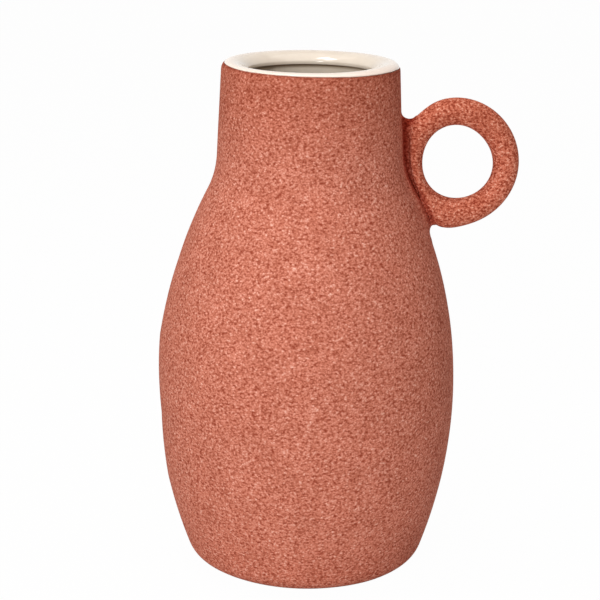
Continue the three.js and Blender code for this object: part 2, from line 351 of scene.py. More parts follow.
def wheel_tree():
    """Turns a profile about the vase's axis, with the slow wander of a wall and of the coat's edge."""
    tree = bpy.data.node_groups.new("turned_on_the_axis", "GeometryNodeTree")
    inputs = (("Profile", "Geometry"), ("Segments", "Int"), ("Wobble", "Float"), ("Edge Tilt", "Float"),
              ("Edge Ripple", "Float"), ("Finish", "Material"))
    for name, kind in inputs:
        tree.interface.new_socket(name, in_out="INPUT", socket_type="NodeSocket" + kind)
    tree.interface.new_socket("Turned", in_out="OUTPUT", socket_type="NodeSocketGeometry")

    # A sheet with a row for each point of the profile and a column for each segment of the turn
    given = add(tree, "NodeGroupInput").outputs
    size = add(tree, "GeometryNodeAttributeDomainSize", {"Geometry": given["Profile"]}, component="MESH")
    count = size.outputs["Point Count"]
    columns = add(tree, "ShaderNodeMath", {0: given["Segments"]}, {1: 1}, operation="ADD").outputs[0]
    grid = add(tree, "GeometryNodeMeshGrid", {"Vertices X": columns, "Vertices Y": count},
               {"Size X": 1, "Size Y": 1}).outputs["Mesh"]
    place = add(tree, "ShaderNodeSeparateXYZ", {0: add(tree, "GeometryNodeInputPosition").outputs[0]})
    last = add(tree, "ShaderNodeMath", {0: count}, {1: 1}, operation="SUBTRACT").outputs[0]
    along = add(tree, "ShaderNodeMath", {0: place.outputs["Y"]}, {1: 0.5}, operation="ADD").outputs[0]
    row = add(tree, "ShaderNodeMath", {0: along, 1: last}, operation="MULTIPLY").outputs[0]
    row = add(tree, "ShaderNodeMath", {0: row}, operation="ROUND").outputs[0]
    around = add(tree, "ShaderNodeMath", {0: place.outputs["X"]}, {1: 0.5}, operation="ADD").outputs[0]
    turn = add(tree, "ShaderNodeMath", {0: around}, {1: 2 * math.pi}, operation="MULTIPLY").outputs[0]

    # The profile's own point, its share of the coat edge's wander, and its swell
    read = [("FLOAT_VECTOR", add(tree, "GeometryNodeInputPosition").outputs[0])]
    for name in ("slide", "swell"):
        kept = add(tree, "GeometryNodeInputNamedAttribute", values={"Name": name}, data_type="FLOAT")
        read.append(("FLOAT", kept.outputs[0]))
    point, share, swell = [
        add(tree, "GeometryNodeSampleIndex", {"Geometry": given["Profile"], "Value": value, "Index": row},
            data_type=kind).outputs[0]
        for kind, value in read
    ]

    # The edge tilts once round the lip and ripples as the brush went
    off = add(tree, "ShaderNodeMath", {0: turn}, {1: LOW_EDGE_TOWARDS}, operation="SUBTRACT").outputs[0]
    once = add(tree, "ShaderNodeMath", {0: off}, operation="COSINE").outputs[0]
    tilt = add(tree, "ShaderNodeMath", {0: once, 1: given["Edge Tilt"]}, operation="MULTIPLY").outputs[0]
    rim = add(tree, "ShaderNodeVectorRotate", {"Angle": turn}, {"Vector": (1, 0, 0)}, rotation_type="Z_AXIS")
    ripple = add(tree, "ShaderNodeTexNoise", {"Vector": rim.outputs[0]},
                 {"Scale": EDGE_RIPPLE_WAVES, "Detail": 2, "W": RIPPLE_SEED},
                 noise_dimensions="4D").outputs[0]
    ripple = add(tree, "ShaderNodeMapRange", {"Value": ripple, "To Max": given["Edge Ripple"]},
                 {"From Min": NOISE_MIDDLE, "From Max": NOISE_HIGH, "To Min": 0}, clamp=False).outputs[0]
    wander = add(tree, "ShaderNodeMath", {0: tilt, 1: ripple}, operation="ADD").outputs[0]
    wander = add(tree, "ShaderNodeMath", {0: wander, 1: share}, operation="MULTIPLY").outputs[0]
    centre = (BEAD[0] * MM, 0, BEAD[1] * MM)
    slid = add(tree, "ShaderNodeVectorRotate", {"Vector": point, "Angle": wander}, {"Center": centre},
               rotation_type="Y_AXIS").outputs[0]

    # The lip's dip, and none on the axis, where the profile's ends stay together
    from_low = add(tree, "ShaderNodeMath", {0: turn}, {1: LIP_DIP_TOWARDS}, operation="SUBTRACT").outputs[0]
    dip_side = add(tree, "ShaderNodeMath", {0: from_low}, operation="COSINE").outputs[0]
    dip_side = add(tree, "ShaderNodeMapRange", {"Value": dip_side}, {"To Max": -LIP_DIP * MM},
                   interpolation_type="SMOOTHSTEP").outputs[0]
    at = add(tree, "ShaderNodeSeparateXYZ", {0: slid}).outputs
    off_axis = add(tree, "ShaderNodeMapRange", {"Value": at["X"]},
                   {"From Min": 0, "From Max": LIP_BEAD_RADIUS * MM}).outputs[0]
    near_lip = add(tree, "ShaderNodeMapRange", {"Value": at["Z"]},
                   {"From Min": (VASE_HEIGHT - LIP_DIP_REACH) * MM, "From Max": BEAD[1] * MM},
                   interpolation_type="SMOOTHSTEP").outputs[0]
    dip = add(tree, "ShaderNodeMath", {0: dip_side, 1: near_lip}, operation="MULTIPLY").outputs[0]
    dip = add(tree, "ShaderNodeMath", {0: dip, 1: off_axis}, operation="MULTIPLY").outputs[0]
    dip = add(tree, "ShaderNodeCombineXYZ", {"Z": dip}).outputs[0]
    slid = add(tree, "ShaderNodeVectorMath", {0: slid, 1: dip}, operation="ADD").outputs[0]

    # The wall's wander, the same for every skin, and none where the ring is luted on
    height = add(tree, "ShaderNodeSeparateXYZ", {0: slid}).outputs["Z"]
    ring_side = add(tree, "ShaderNodeVectorRotate", {"Angle": turn}, {"Vector": (BELLY_RADIUS * MM, 0, 0)},
                    rotation_type="Z_AXIS").outputs[0]
    level = add(tree, "ShaderNodeCombineXYZ", {"Z": height}).outputs[0]
    spot = add(tree, "ShaderNodeVectorMath", {0: ring_side, 1: level}, operation="ADD").outputs[0]
    drift = add(tree, "ShaderNodeTexNoise", {"Vector": spot},
                {"Scale": 1 / (WOBBLE_SIZE * MM), "Detail": 1, "W": WOBBLE_SEED},
                noise_dimensions="4D").outputs[0]
    drift = add(tree, "ShaderNodeMapRange", {"Value": drift, "To Max": given["Wobble"]},
                {"From Min": NOISE_MIDDLE, "From Max": NOISE_HIGH, "To Min": 0}, clamp=False).outputs[0]
    seat = (BELLY_RADIUS * MM, 0, (VASE_HEIGHT - RING_DROP_FROM_LIP) * MM)
    away = add(tree, "ShaderNodeVectorMath", {0: spot}, {1: seat}, operation="DISTANCE").outputs["Value"]
    start, full = WOBBLE_OFF_SEAT
    clear = add(tree, "ShaderNodeMapRange", {"Value": away}, {"From Min": start * MM, "From Max": full * MM},
                interpolation_type="SMOOTHSTEP").outputs[0]
    drift = add(tree, "ShaderNodeMath", {0: drift, 1: clear}, operation="MULTIPLY").outputs[0]
    facing = add(tree, "ShaderNodeMath", {0: turn}, operation="COSINE").outputs[0]
    away_side = add(tree, "ShaderNodeMapRange", {"Value": facing}, {"From Min": 0, "From Max": -1},
                    interpolation_type="SMOOTHSTEP").outputs[0]
    drift = add(tree, "ShaderNodeMath", {0: swell, 1: away_side, 2: drift},
                operation="MULTIPLY_ADD").outputs[0]
    drift = add(tree, "ShaderNodeMath", {0: drift, 1: off_axis}, operation="MULTIPLY").outputs[0]
    outward = add(tree, "ShaderNodeCombineXYZ", {"X": drift}).outputs[0]
    moved = add(tree, "ShaderNodeVectorMath", {0: slid, 1: outward}, operation="ADD").outputs[0]
    placed = add(tree, "ShaderNodeVectorRotate", {"Vector": moved, "Angle": turn},
                 rotation_type="Z_AXIS").outputs[0]
    shaped = add(tree, "GeometryNodeSetPosition", {"Geometry": grid, "Position": placed}).outputs[0]
    closed = add(tree, "GeometryNodeMergeByDistance", {"Geometry": shaped},
                 {"Distance": WELD * MM}).outputs[0]
    smooth = add(tree, "GeometryNodeSetShadeSmooth", {"Geometry": closed}).outputs[0]
    real = add(tree, "GeometryNodeRealizeInstances", {"Geometry": smooth}).outputs[0]
    done = add(tree, "GeometryNodeSetMaterial", {"Geometry": real, "Material": given["Finish"]}).outputs[0]
    add(tree, "NodeGroupOutput", {"Turned": done})
    return tree


def plain_mesh(name, thing):
    """The evaluated object as a plain mesh of its own, with no modifier."""
    view = bpy.context.evaluated_depsgraph_get()
    mesh = bpy.data.meshes.new_from_object(thing.evaluated_get(view))
    mesh.name = name
    bpy.data.objects.remove(thing)
    made = bpy.data.objects.new(name, mesh)
    bpy.context.scene.collection.objects.link(made)
    return made


def mesh_object(name, points, faces=(), edges=()):
    """A new object in the scene, from points in metres."""
    mesh = bpy.data.meshes.new(name)
    mesh.from_pydata([tuple(p) for p in points], edges, faces)
    made = bpy.data.objects.new(name, mesh)
    bpy.context.scene.collection.objects.link(made)
    return made


def mark(piece, name, values):
    """Keeps a value for each point of a piece, for its node tree or its finish to read."""
    kept = piece.data.attributes.new(name, "FLOAT", "POINT")
    kept.data.foreach_set("value", values)


def turned(name, profile, finish, segments=TURN_SEGMENTS):
    """A profile turned about the axis, as a closed solid."""
    points = [(r * MM, 0, z * MM) for r, z in profile]
    edges = [(i, i + 1) for i in range(len(points) - 1)]
    blank = mesh_object(name + "_profile", points, edges=edges)
    mark(blank, "slide", [coat_edge_slide(p) for p in profile])
    mark(blank, "swell", [swell_at(p[1]) * MM for p in profile])
    wheel = blank.modifiers.new("wheel", "NODES")
    wheel.node_group = WHEEL
    sockets = {s.name: s.identifier for s in WHEEL.interface.items_tree if s.in_out == "INPUT"}
    wheel[sockets["Segments"]] = segments
    wheel[sockets["Wobble"]] = WOBBLE * MM
    wheel[sockets["Edge Tilt"]] = EDGE_TILT
    wheel[sockets["Edge Ripple"]] = EDGE_RIPPLE
    wheel[sockets["Finish"]] = finish
    return plain_mesh(name, blank)


def wall_distance(radius, height):
    """Distance outside the finished wall, from the arcs of its profile."""
    neck = NECK_NORMAL[0] * radius + NECK_NORMAL[1] * height - NECK_LINE
    shoulder_turn = np.arctan2(SHOULDER[1] - height, SHOULDER[0] - radius)
    shoulder = SHOULDER_ARC - np.hypot(radius - SHOULDER[0], height - SHOULDER[1])
    upper_turn = np.arctan2(height - UPPER[1], radius - UPPER[0])
    upper = np.hypot(radius - UPPER[0], height - UPPER[1]) - UPPER_BELLY_ARC
    return np.where(upper_turn < BELLY_END, upper, np.where(shoulder_turn > NECK_TAPER, shoulder, neck))


RING_HEIGHT = VASE_HEIGHT - RING_DROP_FROM_LIP
NECK_FOOT_RADIUS = SHOULDER[0] - math.sqrt(SHOULDER_ARC ** 2 - (RING_HEIGHT - SHOULDER[1]) ** 2)
RING_X = NECK_FOOT_RADIUS + RING_RADIUS + RING_TUBE_RADIUS - RING_BITE


def around_turn(terms, turn):
    """What the waves of the ring's round or thickness add up to at a turn."""
    return sum(a * np.cos(n * turn) + b * np.sin(n * turn) for n, a, b in terms)


def local_swell(turn, at, spread, amount):
    """A swell that is full at one turn and fades out to both sides."""
    off = (turn - at + math.pi) % (2 * math.pi) - math.pi
    return amount * np.exp(-((off / spread) ** 2))


def ring_section(turn):
    """The ring's centreline radius and its half thickness at a turn. A swell of the outer side moves both by
    half."""
    half_swell = (local_swell(turn, *UPPER_PINCH) + local_swell(turn, *LOWER_SWELL)) / 2
    centreline = RING_RADIUS + around_turn(RING_OUT_OF_ROUND, turn) + half_swell
    return centreline, RING_TUBE_RADIUS + around_turn(RING_THICKER, turn) + half_swell


def ring_distance(x, y, z):
    """Distance outside the ring's finished surface."""
    centreline, thickness = ring_section(np.arctan2(z - RING_HEIGHT, x - RING_X))
    return np.hypot(np.hypot(x - RING_X, z - RING_HEIGHT) - centreline, y) - thickness


def blended(a, b, radius):
    """Two forms as one, with a fillet of this radius where they meet."""
    in_corner = np.hypot(np.maximum(radius - a, 0), np.maximum(radius - b, 0))
    return np.maximum(radius, np.minimum(a, b)) - in_corner


def trimmed(a, b, radius):
    """What two forms have in common, with the edge between them rounded to this radius."""
    return -blended(-a, -b, radius)


def smooth_step(value, low, high):
    """0 up to low, 1 from high, and a smooth rise between them."""
    share = np.clip((value - low) / (high - low), 0, 1)
    return share * share * (3 - 2 * share)


# Two balls, rolled into the notches above and below the joint until they touch ring and wall, leave the web's
# hollow edges. Each is found by its angle about the ring's centre.
RING_CENTRE = np.array((RING_X, RING_HEIGHT))
UPPER_REACH = sum(ring_section(UPPER_PINCH[0])) + UPPER_WEB_FILLET
LOWER_REACH = sum(ring_section(LOWER_SWELL[0])) + LOWER_WEB_FILLET
UPPER_OFF_RING = NECK_LINE + UPPER_WEB_FILLET - NECK_NORMAL @ RING_CENTRE
UPPER_TURN = NECK_TAPER + math.acos(UPPER_OFF_RING / UPPER_REACH)
UPPER_BALL = polar(RING_CENTRE, UPPER_REACH, UPPER_TURN)
TOWARDS_BELLY = UPPER - RING_CENTRE
BELLY_FAR = np.linalg.norm(TOWARDS_BELLY)
LOWER_SQUARES = LOWER_REACH ** 2 + BELLY_FAR ** 2 - (UPPER_BELLY_ARC + LOWER_WEB_FILLET) ** 2
OFF_BELLY = math.acos(LOWER_SQUARES / (2 * LOWER_REACH * BELLY_FAR))
LOWER_TURN = math.atan2(TOWARDS_BELLY[1], TOWARDS_BELLY[0]) + OFF_BELLY
LOWER_BALL = polar(RING_CENTRE, LOWER_REACH, LOWER_TURN)


def left_of(x, z, start, towards):
    """How far a point lies to the left of the line from one point towards another."""
    way = (towards - start) / np.linalg.norm(towards - start)
    return way[0] * (z - start[1]) - way[1] * (x - start[0])


def web_distance(x, y, z, wall, inset):
    """Distance outside the web: what the two balls leave between wall and ring, with two flat flanks. It lies
    within the lines from each ball to the wall and to the ring's centre, and not in the ring's hole."""
    outline = np.maximum.reduce((
        UPPER_WEB_FILLET + inset - np.hypot(x - UPPER_BALL[0], z - UPPER_BALL[1]),
        LOWER_WEB_FILLET + inset - np.hypot(x - LOWER_BALL[0], z - LOWER_BALL[1]),
        -left_of(x, z, UPPER_BALL, UPPER_BALL - NECK_NORMAL),
        -left_of(x, z, RING_CENTRE, UPPER_BALL),
        left_of(x, z, LOWER_BALL, UPPER),
        left_of(x, z, RING_CENTRE, LOWER_BALL),
        RING_RADIUS - RING_TUBE_RADIUS / 2 - np.hypot(x - RING_X, z - RING_HEIGHT),
    ))
    return trimmed(np.minimum(outline, wall + inset), np.abs(y) + inset - WEB_HALF_WIDTH, WEB_EDGE)


def up_the_joint(z):
    """0 at the joint's foot and 1 from a little above the ring's middle."""
    return smooth_step(z, RING_HEIGHT - RING_RADIUS, RING_HEIGHT + RING_RADIUS / 3)


def along_joint(pair, z):
    """A size of the joint that changes from its foot to its top."""
    return pair[0] + (pair[1] - pair[0]) * up_the_joint(z)


def build_up(z, ring):
    """How far the slip on the wall stands up, next to the ring."""
    return along_joint(BUILD_UP, z) * (1 - smooth_step(ring, *BUILD_UP_FADE))


def luted_ring(x, y, z, inset):
    """The ring with its cut side clear of the wall, and the web that joins them, all sunk by inset."""
    wall = wall_distance(np.hypot(x, y), z)
    ring = ring_distance(x, y, z)
    cut_ring = trimmed(ring + inset, along_joint(GROOVE_WIDTH, z) + inset - wall, RING_EDGE)
    return cut_ring, web_distance(x, y, z, wall, inset), wall, ring


def coat_at_ring(x, y, z):
    """The coat over ring, web and the wall close by, which sinks under the turned wall further off."""
    cut_ring, web, wall, ring = luted_ring(x, y, z, 0)
    sunk = wall - build_up(z, ring) + smooth_step(ring, *COAT_SINKS)
    root = along_joint(GROOVE_ROOT, z)
    whole = blended(blended(cut_ring, web, root), sunk, root)
    return np.maximum(np.maximum(whole, -CLAY_WALL - wall), ring - JOINT_REACH)


def clay_room_at_ring(x, y, z):
    """What the coat leaves free for the ring's clay and the slip."""
    cut_ring, web, wall, ring = luted_ring(x, y, z, SAND_COAT)
    through_coat = np.maximum(FIT_GAP - CLAY_WALL - wall, ring - JOINT_REACH / 2)
    return np.maximum(np.minimum(cut_ring, web), through_coat)


def ring_clay(x, y, z):
    """The ring's clay, under the coat and clear of it by the fit gap."""
    return luted_ring(x, y, z, COAT_BUILD)[0]


def slip_web(x, y, z):
    """The slip between ring and wall, clear of both by the fit gap."""
    cut_ring, web, wall, _ = luted_ring(x, y, z, COAT_BUILD)
    return np.maximum(np.maximum(web, FIT_GAP - cut_ring), FIT_GAP - COAT_BUILD - wall)


def surface_of(name, form, cell, low, high):
    """Meshes the surface where a form's distance is zero: a point to each cell, then drawn onto it."""
    axes = [np.arange(a, b + cell, cell) for a, b in zip(low, high)]
    grid = np.stack(np.meshgrid(*axes, indexing="ij"), -1)
    value = form(*np.moveaxis(grid, -1, 0))
    inside = value < 0
    corners = [(i, j, k) for i in (0, 1) for j in (0, 1) for k in (0, 1)]
    shape = np.array(value.shape) - 1

    def corner(array, at):
        return array[tuple(slice(a, a + n) for a, n in zip(at, shape))]

    filled = sum(corner(inside, c).astype(int) for c in corners)
    mixed = (filled > 0) & (filled < len(corners))
    number = np.full(mixed.shape, -1)
    number[mixed] = np.arange(mixed.sum())
    total = np.zeros((mixed.sum(), 3))
    crossings = np.zeros(mixed.sum())
    for start in corners:
        for axis in range(3):
            if start[axis]:
                continue
            end = tuple(c + (i == axis) for i, c in enumerate(start))
            first, second = corner(value, start)[mixed], corner(value, end)[mixed]
            crossed = (first < 0) != (second < 0)
            share = np.where(crossed, first / np.where(crossed, first - second, 1), 0)
            place = corner(grid, start)[mixed].copy()
            place[:, axis] += share * cell
            total += place * crossed[:, None]
            crossings += crossed
    points = total / crossings[:, None]
    faces = []
    for axis in range(3):
        side = [a for a in range(3) if a != axis]
        change = np.diff(inside.astype(int), axis=axis)
        for leaving in (True, False):
            edge = np.argwhere(change == (-1 if leaving else 1))
            around = []
            for back in ((1, 1), (0, 1), (0, 0), (1, 0)):
                cell_at = edge.copy()
                cell_at[:, side[0]] -= back[0]
                cell_at[:, side[1]] -= back[1]
                around.append(number[tuple(cell_at.T)])

            # Faces point outwards: about the middle axis the other two axes run the other way round
            quads = np.stack(around, 1)
            faces.append(quads if leaving != (axis == 1) else quads[:, ::-1])
    faces = np.concatenate(faces)
    points = drawn_on(form, points, faces, cell)
    made = mesh_object(name, points * MM, faces.tolist())
    made.data.shade_smooth()
    return made


def drawn_on(form, points, faces, cell):
    """Evens out the points and puts each on the form's surface, by no more than half a cell a round."""
    starts = np.concatenate([faces[:, i] for i in range(4)])
    ends = np.concatenate([faces[:, (i + 1) % 4] for i in range(4)])
    counts = np.bincount(starts, minlength=len(points))[:, None]
    step = cell / 50
    for even in EVENING_ROUNDS:
        mean = np.stack([np.bincount(starts, points[ends, a], len(points)) for a in range(3)], 1) / counts
        points = points + even * (mean - points)
        here = form(*points.T)
        rises = [form(*(points + o).T) - form(*(points - o).T) for o in np.eye(3) * step]
        slope = np.stack(rises, 1) / (2 * step)
        steep = np.maximum((slope ** 2).sum(1), LEAST_STEEP)
        move = -(here / steep)[:, None] * slope
        length = np.maximum(np.linalg.norm(move, axis=1, keepdims=True), 1e-9)
        points = points + move * np.minimum(1, cell / 2 / length)
    return points


def mark_coat(coat):
    """Marks painted shade in the groove round the joint, and where the coat lies on the ring or nears its
    edge.
    """
    points = np.empty(len(coat.data.vertices) * 3)
    coat.data.vertices.foreach_get("co", points)
    x, y, z = points.reshape(-1, 3).T / MM
    radius = np.hypot(x, y)
    wall = wall_distance(radius, z)
    ring = ring_distance(x, y, z)
    # Painted shade in the groove round the joint, fading out to its sides
    above_ring = smooth_step(z, UPPER_BALL[1] - 2 * UPPER_WEB_FILLET, UPPER_BALL[1] - UPPER_WEB_FILLET)
    left_open = along_joint(GROOVE_WIDTH, z) - build_up(z, ring)
    groove = np.maximum(left_open, along_joint(GROOVE_SHADE_WIDTH, z)) * (1 + above_ring)
    out_of_groove = smooth_step(np.maximum(wall - build_up(z, ring), ring) / groove, *GROOVE_SHADE_FADE)
    mark(coat, "painted_groove_shade", (1 - out_of_groove) * along_joint(GROOVE_SHADE_DEPTH, z))
    mark(coat, "on_ring", smooth_step(wall, *RING_COLOUR_FADE))
    lip_angle = np.degrees(np.arctan2(z - BEAD[1], radius - BEAD[0]))
    around = np.floor((np.arctan2(y, x) / (2 * math.pi) + 0.5) * EDGE_SHARES).astype(int) % EDGE_SHARES
    on_lip = (z > BEAD[1] - LIP_DIP) & (radius > BEAD[0])
    edge = np.zeros(EDGE_SHARES)
    np.maximum.at(edge, around[on_lip], lip_angle[on_lip])
    mark(coat, "edge", np.where(on_lip, 1 - smooth_step(edge[around] - lip_angle, 0, EDGE_LINE), 0))


def combined(target, other, how):
    """Joins or cuts two closed solids."""
    cutter = target.modifiers.new(how.lower(), "BOOLEAN")
    cutter.operation = how
    cutter.solver = "MANIFOLD"
    cutter.object = other
    made = plain_mesh(target.name, target)
    bpy.data.objects.remove(other)
    return made


def new_material(name):
    """A new material and its node tree, empty."""
    material = bpy.data.materials.new(name)
    material.use_nodes = True
    tree = material.node_tree
    tree.nodes.clear()
    return material, tree


def sand_coat_finish():
    """Terracotta glaze with sand in it, dipped and fired matt: light grains, a little wider than high, stand
    in darker pits, deepest on the ring. It is darker and redder up the neck towards the lip, lies thicker and
    redder on the ring and along its edge on the lip, and has painted shade in the groove round the joint. The
    grains are drawn a little coarser than the real ones, which wouldn't show in the render."""
    material, tree = new_material("sand_textured_terracotta_coat")
    grain_size = 1.65 * MM
    kernel_size = 1.2 * MM
    kernel_share = 0.22
    wider_than_high = (1, 1, 1.3)
    deeper_on_ring = 0.3
    blotch_size = 16 * MM
    redder_from = 230 * MM
    reddest_from = 268 * MM
    on_ring, edge, painted_groove_shade = [
        add(tree, "ShaderNodeAttribute", attribute_name=name).outputs["Fac"]
        for name in ("on_ring", "edge", "painted_groove_shade")
    ]

    place = add(tree, "ShaderNodeTexCoord").outputs["Object"]
    wide = add(tree, "ShaderNodeVectorMath", {0: place}, {1: wider_than_high},
               operation="MULTIPLY").outputs[0]
    sand = add(tree, "ShaderNodeTexNoise", {"Vector": wide},
               {"Scale": 1 / grain_size, "Detail": 1.5, "Roughness": 0.55, "Distortion": 0.25}).outputs[0]
    kernels = add(tree, "ShaderNodeTexVoronoi", {"Vector": wide}, {"Scale": 1 / kernel_size}).outputs[0]
    kernels = add(tree, "ShaderNodeMapRange", {"Value": kernels},
                  {"From Min": 0.1, "From Max": 0.75, "To Min": 1, "To Max": 0}).outputs[0]
    relief = add(tree, "ShaderNodeMix", {2: sand, 3: kernels}, {0: kernel_share}).outputs[0]
    depth = add(tree, "ShaderNodeMath", {0: on_ring}, {1: deeper_on_ring, 2: 1},
                operation="MULTIPLY_ADD").outputs[0]
    relief = add(tree, "ShaderNodeMath", {0: relief}, {1: NOISE_MIDDLE}, operation="SUBTRACT").outputs[0]
    relief = add(tree, "ShaderNodeMath", {0: relief, 1: depth}, {2: NOISE_MIDDLE},
                 operation="MULTIPLY_ADD").outputs[0]
    colour = add(tree, "ShaderNodeValToRGB", {"Fac": relief},
                 stops=((0.28, "#A04C38"), (0.48, "#D4836B"), (0.6, "#E79B86"), (0.76, "#FFD0BC"))).outputs[0]

    blotches = add(tree, "ShaderNodeTexNoise", {"Vector": place},
                   {"Scale": 1 / blotch_size, "Detail": 3, "Roughness": 0.6}).outputs[0]
    cloud = add(tree, "ShaderNodeValToRGB", {"Fac": blotches},
                stops=((0.3, "#EEE8E6"), (0.7, "#FBF8F8"))).outputs[0]
    colour = add(tree, "ShaderNodeMix", {6: colour, 7: cloud}, {0: 1},
                 data_type="RGBA", blend_type="MULTIPLY").outputs[2]
    height = add(tree, "ShaderNodeSeparateXYZ", {0: place}).outputs["Z"]
    # Darker and redder up the neck, towards the lip
    up_the_neck = add(tree, "ShaderNodeMapRange", {"Value": height},
                      {"From Min": redder_from, "From Max": reddest_from}).outputs[0]
    # Tints up the neck, on the ring and along the coat's edge, and painted shade in the groove round the
    # joint
    tints = ((up_the_neck, "#EDE2DC"), (on_ring, "#FFF0E6"), (edge, "#D8C4BC"), (painted_groove_shade, "#C86A50"))
    for share, tint in tints:
        colour = add(tree, "ShaderNodeMix", {0: share, 6: colour}, {7: linear(tint)},
                     data_type="RGBA", blend_type="MULTIPLY").outputs[2]

    bump = add(tree, "ShaderNodeBump", {"Height": relief}, {"Strength": 0.6, "Distance": 0.5 * MM})
    shader = add(tree, "ShaderNodeBsdfPrincipled", {"Base Color": colour, "Normal": bump.outputs[0]},
                 {"Roughness": 0.85, "IOR": 1.5, "Specular IOR Level": 0.06})
    add(tree, "ShaderNodeOutputMaterial", {"Surface": shader.outputs[0]})
    return material


def cream_glaze_finish():
    """Cream gloss glaze, dipped: a glassy skin that lies a little uneven, so lights draw small bright spots
    on it. It is paler on the lip's outer turn, as painted light, and darker in the crevice under the roll's
    tip, as painted shade."""
    material, tree = new_material("cream_gloss_glaze")
    cloud_size = 12 * MM
    ripple_size = 7 * MM
    begins, full, ends, gone = [(TIP[1] - LIP_TIP_ARC + level) * MM for level in CREVICE_SHADE]
    lit_from, fully_lit = [(BEAD[0] + off) * MM for off in LIP_PAINTED_LIGHT]

    place = add(tree, "ShaderNodeTexCoord").outputs["Object"]
    cloud = add(tree, "ShaderNodeTexNoise", {"Vector": place},
                {"Scale": 1 / cloud_size, "Detail": 3}).outputs[0]
    colour = add(tree, "ShaderNodeValToRGB", {"Fac": cloud},
                 stops=((0.3, "#E0D4C3"), (0.7, "#E9DECD"))).outputs[0]
    height = add(tree, "ShaderNodeSeparateXYZ", {0: place}).outputs["Z"]
    # Painted shade in the crevice under the roll's tip
    below = add(tree, "ShaderNodeMapRange", {"Value": height},
                {"From Min": ends, "From Max": gone, "To Min": 1, "To Max": 0}).outputs[0]
    crevice_shade = add(tree, "ShaderNodeMapRange", {"Value": height, "To Max": below},
                  {"From Min": begins, "From Max": full}).outputs[0]
    colour = add(tree, "ShaderNodeMix", {0: crevice_shade, 6: colour}, {7: linear("#A7927D")},
                 data_type="RGBA", blend_type="MULTIPLY").outputs[2]
    # Painted light: the glaze paler over the lip's outer turn
    above = add(tree, "ShaderNodeMapRange", {"Value": height},
                {"From Min": BEAD[1] * MM, "From Max": (BEAD[1] + LIP_BEAD_RADIUS / 2) * MM}).outputs[0]
    off_axis = add(tree, "ShaderNodeVectorMath", {0: place}, {1: (1, 1, 0)}, operation="MULTIPLY").outputs[0]
    off_axis = add(tree, "ShaderNodeVectorMath", {0: off_axis}, operation="LENGTH").outputs["Value"]
    outer = add(tree, "ShaderNodeMapRange", {"Value": off_axis, "To Max": above},
                {"From Min": lit_from, "From Max": fully_lit}).outputs[0]
    colour = add(tree, "ShaderNodeMix", {0: outer, 6: colour}, {7: linear("#FBECDE")},
                 data_type="RGBA").outputs[2]
    ripple = add(tree, "ShaderNodeTexNoise", {"Vector": place},
                 {"Scale": 1 / ripple_size, "Detail": 2}).outputs[0]
    bump = add(tree, "ShaderNodeBump", {"Height": ripple}, {"Strength": 0.25, "Distance": 0.3 * MM})
    shader = add(tree, "ShaderNodeBsdfPrincipled", {"Base Color": colour, "Normal": bump.outputs[0]},
                 {"Roughness": 0.08, "IOR": 1.5})
    add(tree, "ShaderNodeOutputMaterial", {"Surface": shader.outputs[0]})
    return material


def bare_stoneware_finish():
    """Buff stoneware, cast, fired and left bare: dry and matt, with dark specks of iron, drawn coarse enough
    to show."""
    material, tree = new_material("bare_buff_stoneware")
    speck_size = 1.2 * MM
    place = add(tree, "ShaderNodeTexCoord").outputs["Object"]
    speck = add(tree, "ShaderNodeTexNoise", {"Vector": place},
                {"Scale": 1 / speck_size, "Detail": 2}).outputs[0]
    colour = add(tree, "ShaderNodeValToRGB", {"Fac": speck},
                 stops=((0.28, "#8A6A52"), (0.4, "#C4A488"), (0.7, "#D3B79D"))).outputs[0]
    bump = add(tree, "ShaderNodeBump", {"Height": speck}, {"Strength": 0.4, "Distance": 0.2 * MM})
    shader = add(tree, "ShaderNodeBsdfPrincipled", {"Base Color": colour, "Normal": bump.outputs[0]},
                 {"Roughness": 0.9, "IOR": 1.5})
    add(tree, "ShaderNodeOutputMaterial", {"Surface": shader.outputs[0]})
    return material


def slip_finish():
    """Luting slip of the same clay, brushed on and fired: matt, smeared and a little darker than the body."""
    material, tree = new_material("fired_luting_slip")
    smear_size = 2 * MM
    place = add(tree, "ShaderNodeTexCoord").outputs["Object"]
    smear = add(tree, "ShaderNodeTexNoise", {"Vector": place},
                {"Scale": 1 / smear_size, "Detail": 3}).outputs[0]
    colour = add(tree, "ShaderNodeValToRGB", {"Fac": smear},
                 stops=((0.3, "#8F6A51"), (0.7, "#B48D70"))).outputs[0]
    shader = add(tree, "ShaderNodeBsdfPrincipled", {"Base Color": colour}, {"Roughness": 0.92, "IOR": 1.5})
    add(tree, "ShaderNodeOutputMaterial", {"Surface": shader.outputs[0]})
    return material


# Camera: a metre from a point on the vase's axis, looking down, and swung round so that the handle points 5
# degrees away from it. The elevation and the roll are in radians.
CAMERA_DISTANCE = 1000
CAMERA_ELEVATION = 0.2607
CAMERA_ABOUT_HEIGHT = 150
CAMERA_SWING = math.radians(-5)
CAMERA_ROLL = 0.0145
AIM = (-4.2302, 0, 147.375)
FOCAL_LENGTH = 108.615
SENSOR_WIDTH = 36

# Lamps: a window a little to the camera's left, a skylight high on the same side, and the ceiling's soft
# light from above. Turns and rises are about the vase. The room's own light is a little warm, and the table
# reaches this many metres each way.
LAMP_DISTANCE = 1500
KEY_SIZE = 300
KEY_TURN = math.radians(-18)
KEY_RISE = math.radians(18)
KEY_POWER = 10.4
SKYLIGHT_SIZE = 420
SKYLIGHT_TURN = math.radians(-70)
SKYLIGHT_RISE = math.radians(74)
SKYLIGHT_POWER = 5.5
CEILING_SIZE = 1600
CEILING_RISE = math.radians(88)
CEILING_POWER = 9
ROOM_COLOUR = "#FFEAE2"
ROOM_STRENGTH = 0.28
TABLE_GLOW = 0.98
TABLE_REACH = 8


